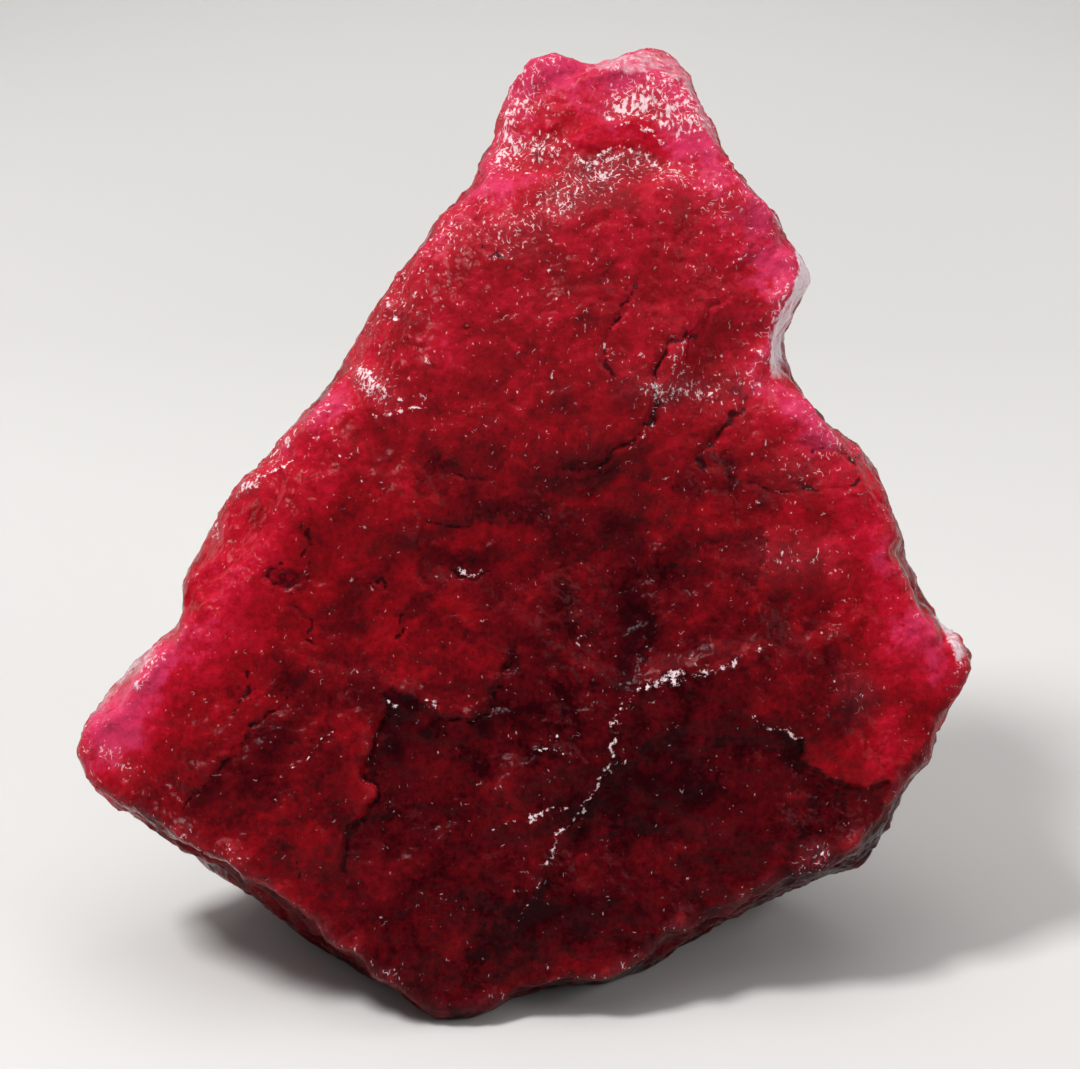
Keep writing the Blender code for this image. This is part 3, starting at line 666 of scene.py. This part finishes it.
def lay_values(block, sizes):
    """Works out, for each point, how the finish should look there."""
    points, triangles, normals = read_mesh(block.data)
    places = points / MM
    ragged = broken(places)
    front = on_front(normals)
    # Painted light: lighter where light from behind and above would come through thin stone, and lighter
    # towards the top.
    painted_glow = np.exp2(-blurred(way_to_light(points, triangles, normals), triangles, 30) / sizes.reach)
    above = smooth((on_face(points)[:, 1] + 8.0) / 28.0)
    painted_glow = GLOW_LEAST + GLOW_THROUGH * painted_glow + GLOW_ABOVE * above
    # Painted light and shade: each step's high side is painted lighter and its low side darker.
    for change, reach, path in STEPS.values():
        painted_glow += change * step(ragged, reach, path)
    for centre, half_width, half_height, turn, change in GLOW_PATCHES.values():
        painted_glow += change * patch(ragged, centre, half_width, half_height, turn)
    painted_glow += 0.08 * noise_at(places, 5.0, 41)
    crack, painted_spark = np.zeros(len(points)), np.zeros(len(points))
    # Painted shade in the cracks, on the front and on the sides and back.
    for half_width, _, path in CRACKS.values():
        crack = np.maximum(crack, line(ragged, half_width, path))
    crack *= front * np.clip(0.9 + 1.0 * noise_at(places, 1.6, 19), 0.4, 1.1)
    size, width, _, seed = FAR_CRACKS
    crack = np.maximum(crack, (1.0 - front) * parted(places, size, width, seed))
    # Painted glints along the ridges.
    for half_width, strength, path in GLINTING_RIDGES.values():
        painted_spark = np.maximum(painted_spark, strength * line(ragged, half_width, path))
    painted_glitter, murk_and_shade, chalk_and_sheen = np.zeros(len(points)), np.zeros(len(points)), np.zeros(len(points))
    for table, values in ((GLITTER, painted_glitter), (MURK_AND_SHADE, murk_and_shade), (PALE_AND_SHEEN, chalk_and_sheen)):
        for centre, half_width, half_height, turn, density in table.values():
            values += density * patch(ragged, centre, half_width, half_height, turn)
    # Painted glints on the pits' lips.
    for centre, radius, _ in BUBBLES.values():
        gap = np.linalg.norm(on_face(points) - np.array(centre), axis=1) / radius
        painted_spark = np.maximum(painted_spark, 0.65 * np.exp(-((gap - 1.0) / 0.3) ** 2))
    # The pale is painted most on walls turned away from the front, where light grazes them.
    wall = 1.0 - smooth((normals @ face_out() - 0.35) / 0.4)
    chalk_and_sheen *= 0.35 + 0.65 * wall
    for strength, width, path in LIPS.values():
        gap, side, _ = along(path, on_face(points))
        chalk_and_sheen = np.maximum(chalk_and_sheen, strength * (side > 0) * np.exp(-(gap / width) ** 4))
    # The pale scuffs and painted sheen reach about a centimetre back from the face, and end raggedly.
    behind = (places - FACE_MIDDLE) @ face_out() + 6.0 * noise_at(places, 3.5, 53)
    chalk_and_sheen *= smooth((behind + 13.0) / 9.0) * np.clip(0.9 + 0.9 * noise_at(places, 1.6, 47), 0.3, 1.0)
    write_values(block.data, "painted_glow", painted_glow)
    write_values(block.data, "tone", sum(flaked(places, *layer) for layer in FLAKES))
    write_values(block.data, "crack", crack)
    write_values(block.data, "painted_spark", painted_spark * front)
    # Sharp ridges are worn white and painted with glints, and the thick body has dark clouds on every side.
    shared = np.column_stack([blurred(points[:, i], triangles, 40) for i in range(3)])
    convex = ((points - shared) * normals).sum(axis=1) / MM
    worn_and_glinting = smooth((convex - 0.45 + 0.25 * front) / 0.5) * smooth(places[:, 2] / 3.0 - 0.3)
    # More glitter is painted towards the top, as painted glints where the light falls.
    painted_glitter = (painted_glitter + 0.12 * smooth((on_face(points)[:, 1] + 5.0) / 30.0)) * front + 0.3 * worn_and_glinting
    murk_and_shade = murk_and_shade * front + 0.75 * (1.0 - front) * smooth((noise_at(places, 6.0, 71) - 0.05) / 0.2)
    write_values(block.data, "painted_glitter", painted_glitter)
    write_values(block.data, "murk_and_shade", murk_and_shade)
    write_values(block.data, "chalk_and_sheen", chalk_and_sheen)


def add_node(tree, kind, inputs=None, **settings):
    """Adds a node, with its settings, and its inputs as values or as the sockets that feed them."""
    node = tree.nodes.new(kind)
    for name, value in settings.items():
        setattr(node, name, value)
    for name, value in (inputs or {}).items():
        if isinstance(value, bpy.types.NodeSocket):
            tree.links.new(value, node.inputs[name])
        else:
            node.inputs[name].default_value = value
    return node


def broken_corundum(colours):
    """Corundum, red with chromium, as it breaks: glassy on fresh facets, with white glints painted along
    sharp edges.
    The colour paints the light: little comes back out of the thick body, and much through the thin rim."""
    material = bpy.data.materials.new("broken corundum")
    material.use_nodes = True
    tree = material.node_tree
    tree.nodes.clear()
    place = add_node(tree, "ShaderNodeTexCoord").outputs["Object"]
    painted_glow, tone, crack, painted_spark, painted_glitter, murk_and_shade, chalk_and_sheen = (
        add_node(tree, "ShaderNodeAttribute", attribute_name=name).outputs["Fac"]
        for name in ("painted_glow", "tone", "crack", "painted_spark", "painted_glitter", "murk_and_shade", "chalk_and_sheen"))
    # Silk and healed cracks cloud the body, in patches of 3 mm down to grains of a tenth of a millimetre.
    cloud = add_node(tree, "ShaderNodeTexNoise", {
        "Vector": place, "Scale": 1 / (CLOUD_SIZE * MM), "Detail": 3.0, "Roughness": 0.65}).outputs["Fac"]
    grain = add_node(tree, "ShaderNodeTexNoise", {
        "Vector": place, "Scale": 1 / (GRAIN_SIZE * MM), "Detail": 3.0, "Roughness": 0.75}).outputs["Fac"]
    stretched = add_node(tree, "ShaderNodeMapping", {"Vector": place, "Scale": (1.0, 1.0, 0.4)})
    streak = add_node(tree, "ShaderNodeTexNoise", {
        "Vector": stretched.outputs["Vector"], "Scale": 1 / (STREAK_SIZE * MM), "Detail": 1.5}).outputs["Fac"]
    # Chips half a millimetre across catch the light, or lose it, along their curved edges: painted glints on
    # one set of rims, painted dark threads on the other.
    chips = add_node(tree, "ShaderNodeTexNoise", {
        "Vector": place, "Scale": 1 / (CHIP_SIZE * MM), "Detail": 1.0}).outputs["Color"]
    height, chance, other = add_node(tree, "ShaderNodeSeparateColor", {"Color": chips}).outputs
    rims = []
    for channel, width in ((height, 0.028), (other, 0.02)):
        off = add_node(tree, "ShaderNodeMath", {0: channel, 1: 0.5}, operation="SUBTRACT")
        beside = add_node(tree, "ShaderNodeMath", {0: off.outputs[0]}, operation="ABSOLUTE")
        rims.append(add_node(tree, "ShaderNodeMapRange", {
            "Value": beside.outputs[0], "From Max": width, "To Min": 1.0, "To Max": 0.0}).outputs[0])
    lit = painted_glow
    for pattern, share in ((tone, 0.28), (streak, 0.12), (cloud, 0.5), (grain, 0.45)):
        lit = add_node(
            tree, "ShaderNodeMath", {0: pattern, 1: share, 2: lit}, operation="MULTIPLY_ADD").outputs[0]
    # The patterns' own middle values are taken off again, so that the painted glow alone sets the mean tone.
    level = add_node(tree, "ShaderNodeMath", {0: lit, 1: -0.675}, operation="ADD")
    # The ramp paints the glow: darkest where the stone is thickest, brightest at the thin rim.
    body = add_node(tree, "ShaderNodeValToRGB", {"Fac": level.outputs[0]})
    stops = body.color_ramp.elements
    stops[0].position, stops[0].color = 0.0, colours.deep
    stops[1].position, stops[1].color = 1.0, colours.rim
    for position, colour in ((0.25, colours.dark), (0.5, colours.body), (0.75, colours.painted_glow)):
        stops.new(position).color = colour
    # Dark grains gather in clouds, and painted shade darkens the hollows and the foot of the ledges through
    # the same clouds, the cracks, and threads as thin as a hair.
    thick = add_node(tree, "ShaderNodeMath", {0: murk_and_shade, 1: 0.42, 2: grain}, operation="MULTIPLY_ADD")
    grains = add_node(tree, "ShaderNodeMapRange", {
        "Value": thick.outputs[0], "From Min": 0.62, "From Max": 0.92, "To Max": 0.85})
    torn = add_node(tree, "ShaderNodeMath", {0: grain, 1: 0.6, 2: crack}, operation="MULTIPLY_ADD")
    crack_shade = add_node(tree, "ShaderNodeMapRange", {
        "Value": torn.outputs[0], "From Min": 0.75, "From Max": 1.05, "To Max": 0.85})
    # Painted shade: dark threads along the other rims.
    few = add_node(tree, "ShaderNodeMapRange", {
        "Value": chance, "From Min": 0.5, "From Max": 0.38, "To Max": 0.5})
    thread = add_node(tree, "ShaderNodeMath", {0: few.outputs[0], 1: rims[1]}, operation="MULTIPLY")
    # Between the painted glints of a glittering place, the painted glow colour is laid, clear and red.
    between_glints = add_node(tree, "ShaderNodeMapRange", {
        "Value": streak, "From Min": 0.36, "From Max": 0.5, "To Min": 0.8, "To Max": 0.0})
    glow_between_glints = add_node(tree, "ShaderNodeMath", {0: painted_glitter, 1: between_glints.outputs[0]}, operation="MULTIPLY")
    darkness = thread.outputs[0]
    for stain in (grains, crack_shade):
        darkness = add_node(
            tree, "ShaderNodeMath", {0: darkness, 1: stain.outputs[0]}, operation="MAXIMUM").outputs[0]
    with_glow_between = add_node(tree, "ShaderNodeMix", {
        0: glow_between_glints.outputs[0], 6: body.outputs["Color"], 7: colours.painted_glow}, data_type="RGBA")
    darkened = add_node(tree, "ShaderNodeMix", {
        0: darkness, 6: with_glow_between.outputs[2], 7: colours.murk_and_shade}, data_type="RGBA")
    # Walls turned away from the front are painted pale: a painted sheen where light grazes them, and scuffed
    # stone that scatters the light before it gets in.
    scuff_and_sheen_streaks = add_node(tree, "ShaderNodeMath", {0: chalk_and_sheen, 1: streak}, operation="MULTIPLY")
    scuff_and_sheen = add_node(tree, "ShaderNodeMapRange", {
        "Value": scuff_and_sheen_streaks.outputs[0], "From Min": 0.05, "From Max": 0.4})
    walls = add_node(tree, "ShaderNodeMix", {
        0: scuff_and_sheen.outputs[0], 6: darkened.outputs[2], 7: colours.chalk_and_sheen}, data_type="RGBA")
    # A pink sheen is painted where the glitter is dense, with painted white glints a third of a millimetre
    # across.
    pink_sheen = add_node(tree, "ShaderNodeMath", {0: painted_glitter, 1: 0.1}, operation="MULTIPLY")
    with_pink_sheen = add_node(tree, "ShaderNodeMix", {
        0: pink_sheen.outputs[0], 6: walls.outputs[2], 7: colours.pink_sheen}, data_type="RGBA")
    # Painted glints: white flecks along the ridges and in the painted glitter.
    flashes = []
    for density, pattern, share, least, most in (
            (painted_spark, grain, 0.36, 0.78, 0.9), (painted_glitter, streak, 0.32, 0.76, 0.72)):
        reach = add_node(tree, "ShaderNodeMath", {0: density, 1: share, 2: pattern}, operation="MULTIPLY_ADD")
        flashes.append(add_node(tree, "ShaderNodeMapRange", {
            "Value": reach.outputs[0], "From Min": least, "From Max": least + 0.1, "To Max": most}))
    flash = add_node(
        tree, "ShaderNodeMath", {0: flashes[0].outputs[0], 1: flashes[1].outputs[0]}, operation="MAXIMUM")
    # Painted glints: short curved strokes along the chips' rims, more of them where glitter is painted.
    dense = add_node(tree, "ShaderNodeMath", {0: painted_glitter, 1: 0.5, 2: chance}, operation="MULTIPLY_ADD")
    bright = add_node(tree, "ShaderNodeMapRange", {
        "Value": dense.outputs[0], "From Min": 0.69, "From Max": 0.87, "To Max": 0.88})
    glint = add_node(tree, "ShaderNodeMath", {0: bright.outputs[0], 1: rims[0]}, operation="MULTIPLY")
    flash = add_node(
        tree, "ShaderNodeMath", {0: flash.outputs[0], 1: glint.outputs[0]}, operation="MAXIMUM")
    colour = add_node(tree, "ShaderNodeMix", {
        0: flash.outputs[0], 6: with_pink_sheen.outputs[2], 7: colours.glint_white}, data_type="RGBA")
    # The break is dimpled at half a millimetre, and more so where glitter is painted, so that it glints.
    rough = add_node(
        tree, "ShaderNodeMath", {0: painted_glitter, 1: 0.35, 2: 0.65}, operation="MULTIPLY_ADD", use_clamp=True)
    uneven = add_node(tree, "ShaderNodeMath", {0: grain, 1: 0.4, 2: height}, operation="MULTIPLY_ADD")
    dimples = add_node(tree, "ShaderNodeBump", {
        "Height": uneven.outputs[0], "Distance": 0.25 * MM, "Strength": rough.outputs[0]})
    gloss = add_node(tree, "ShaderNodeMapRange", {
        "Value": cloud, "From Min": 0.35, "From Max": 0.65, "To Min": 0.1, "To Max": 0.2})
    shader = add_node(tree, "ShaderNodeBsdfPrincipled", {
        "Base Color": colour.outputs[2], "Roughness": gloss.outputs[0], "Normal": dimples.outputs["Normal"],
        "IOR": 1.76, "Specular IOR Level": 0.02})
    add_node(tree, "ShaderNodeOutputMaterial", {"Surface": shader.outputs["BSDF"]})
    return material


class OBJECT_OT_ruby_block(bpy.types.Operator):
    """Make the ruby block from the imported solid, with its fine skin and its finish"""
    bl_idname = "object.ruby_block"
    bl_label = "Ruby Block"

    def execute(self, context):
        sizes = context.scene.ruby_sizes
        block = skin_copy(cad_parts["raw_ruby"], sizes)
        roughen(block, sizes)
        lay_values(block, sizes)
        block.data.materials.clear()
        block.data.materials.append(broken_corundum(context.scene.ruby_colours))
        only(block)
        bpy.ops.object.shade_smooth()
        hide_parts("raw_ruby")
        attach(block, "root")
        return {"FINISHED"}


# ---- The studio ----

class StudioSettings(bpy.types.PropertyGroup):
    lens: FloatProperty(name="Lens", description="Focal length in millimetres", default=80.0)
    distance: FloatProperty(
        name="Distance", description="From the front face's middle to the camera", default=VANISHING * MM,
        subtype="DISTANCE")
    paper: FloatVectorProperty(
        name="Paper", description="Floor and backdrop", subtype="COLOR", size=4, default=linear("#cbc9c7"))
    key_power: FloatProperty(name="Key", description="Power of the front key in watts", default=3.7)
    top_power: FloatProperty(name="Top", description="Power of the top softbox in watts", default=0.5)
    side_power: FloatProperty(name="Side", description="Power of the side light in watts", default=1.2)
    edge_power: FloatProperty(name="Edge", description="Power of each edge light in watts", default=0.5)
    back_power: FloatProperty(name="Back", description="Power of the backdrop light in watts", default=2.8)
    ceiling_power: FloatProperty(
        name="Ceiling", description="Power of the wide panel over the whole sweep in watts", default=24.0)
    air: FloatProperty(name="Air", description="Strength of the even light from all round", default=0.06)


def matt_paper(colour):
    """Uncoated paper, pressed: flat white with no gloss."""
    material = bpy.data.materials.new("matt paper")
    material.use_nodes = True
    shader = material.node_tree.nodes["Principled BSDF"]
    shader.inputs["Base Color"].default_value = colour
    shader.inputs["Roughness"].default_value = 0.9
    shader.inputs["Specular IOR Level"].default_value = 0.2
    return material


def softbox(name, place, target, size, power):
    bpy.ops.object.light_add(type="AREA", location=place)
    light = bpy.context.object
    light.name = name
    light.data.size = size
    light.data.energy = power
    light.rotation_euler = (Vector(target) - Vector(place)).to_track_quat("-Z", "Y").to_euler()


class SCENE_OT_ruby_studio(bpy.types.Operator):
    """Set a paper sweep, soft lights and the camera around the stone"""
    bl_idname = "scene.ruby_studio"
    bl_label = "Ruby Studio"

    def execute(self, context):
        studio = context.scene.ruby_studio
        middle = Vector(FACE_MIDDLE * MM)
        bpy.ops.object.select_all(action="DESELECT")
        bpy.ops.mesh.primitive_plane_add(size=1.0, location=(0.0, -1.5, 0.0))
        sweep = context.object
        sweep.name = "paper_sweep"
        sweep.scale = (6.0, 6.0, 1.0)
        bpy.ops.object.transform_apply(location=True, rotation=True, scale=True)
        bpy.ops.object.mode_set(mode="EDIT")
        bpy.ops.mesh.select_all(action="DESELECT")
        bpy.ops.object.mode_set(mode="OBJECT")
        for vert in sweep.data.vertices:
            vert.select = vert.co.y > 0.0
        for edge in sweep.data.edges:
            edge.select = all(sweep.data.vertices[i].select for i in edge.vertices)
        bpy.ops.object.mode_set(mode="EDIT")
        bpy.ops.mesh.extrude_region_move(TRANSFORM_OT_translate={"value": (0.0, 0.0, 2.0)})
        bpy.ops.object.mode_set(mode="OBJECT")
        add_modifier("BEVEL", width=0.6, segments=16, limit_method="ANGLE")
        bpy.ops.object.shade_smooth()
        sweep.data.materials.append(matt_paper(studio.paper))
        softbox("ceiling_panel", (0.0, 0.0, 2.2), (0.0, 0.0, 0.0), 3.0, studio.ceiling_power)
        softbox("front_key", (-0.28, -0.15, 0.58), middle, 0.12, studio.key_power)
        softbox("top_softbox", (0.10, 0.04, 0.60), middle, 0.35, studio.top_power)
        softbox("side_light", (0.50, -0.33, 0.40), middle, 0.30, studio.side_power)
        softbox("left_edge_light", (-0.40, 0.22, 0.16), middle, 0.25, studio.edge_power)
        softbox("right_edge_light", (0.40, 0.22, 0.16), middle, 0.25, studio.edge_power)
        softbox("backdrop_light", (0.0, 0.45, 0.60), (0.0, 1.2, 0.3), 0.5, studio.back_power)
        world = bpy.data.worlds.new("studio air")
        world.use_nodes = True
        world.node_tree.nodes["Background"].inputs["Strength"].default_value = studio.air
        world.node_tree.nodes["Background"].inputs["Color"].default_value = (1.0, 1.0, 1.0, 1.0)
        context.scene.world = world
        context.scene.view_settings.view_transform = "Standard"
        outward = Vector(face_out())
        bpy.ops.object.camera_add(location=middle + outward * studio.distance)
        camera = context.object
        camera.rotation_euler = (-outward).to_track_quat("-Z", "Y").to_euler()
        camera.data.lens = studio.lens
        camera.data.clip_start = 0.01
        context.scene.camera = camera
        return {"FINISHED"}


class VIEW3D_PT_ruby(bpy.types.Panel):
    bl_label = "Raw Ruby"
    bl_space_type = "VIEW_3D"
    bl_region_type = "UI"
    bl_category = "Ruby"

    def draw(self, context):
        for settings in (context.scene.ruby_sizes, context.scene.ruby_colours, context.scene.ruby_studio):
            for name in settings.__annotations__:
                self.layout.prop(settings, name)
        self.layout.operator("object.ruby_block")
        self.layout.operator("scene.ruby_studio")


CLASSES = (RubySizes, RubyColours, StudioSettings, OBJECT_OT_ruby_block, SCENE_OT_ruby_studio, VIEW3D_PT_ruby)


def register():
    for one in CLASSES:
        bpy.utils.register_class(one)
    bpy.types.Scene.ruby_sizes = PointerProperty(type=RubySizes)
    bpy.types.Scene.ruby_colours = PointerProperty(type=RubyColours)
    bpy.types.Scene.ruby_studio = PointerProperty(type=StudioSettings)


def unregister():
    del bpy.types.Scene.ruby_studio
    del bpy.types.Scene.ruby_colours
    del bpy.types.Scene.ruby_sizes
    for one in reversed(CLASSES):
        bpy.utils.unregister_class(one)


def main():
    register()
    bpy.ops.object.ruby_block()
    bpy.ops.scene.ruby_studio()


if __name__ == "__main__":
    main()
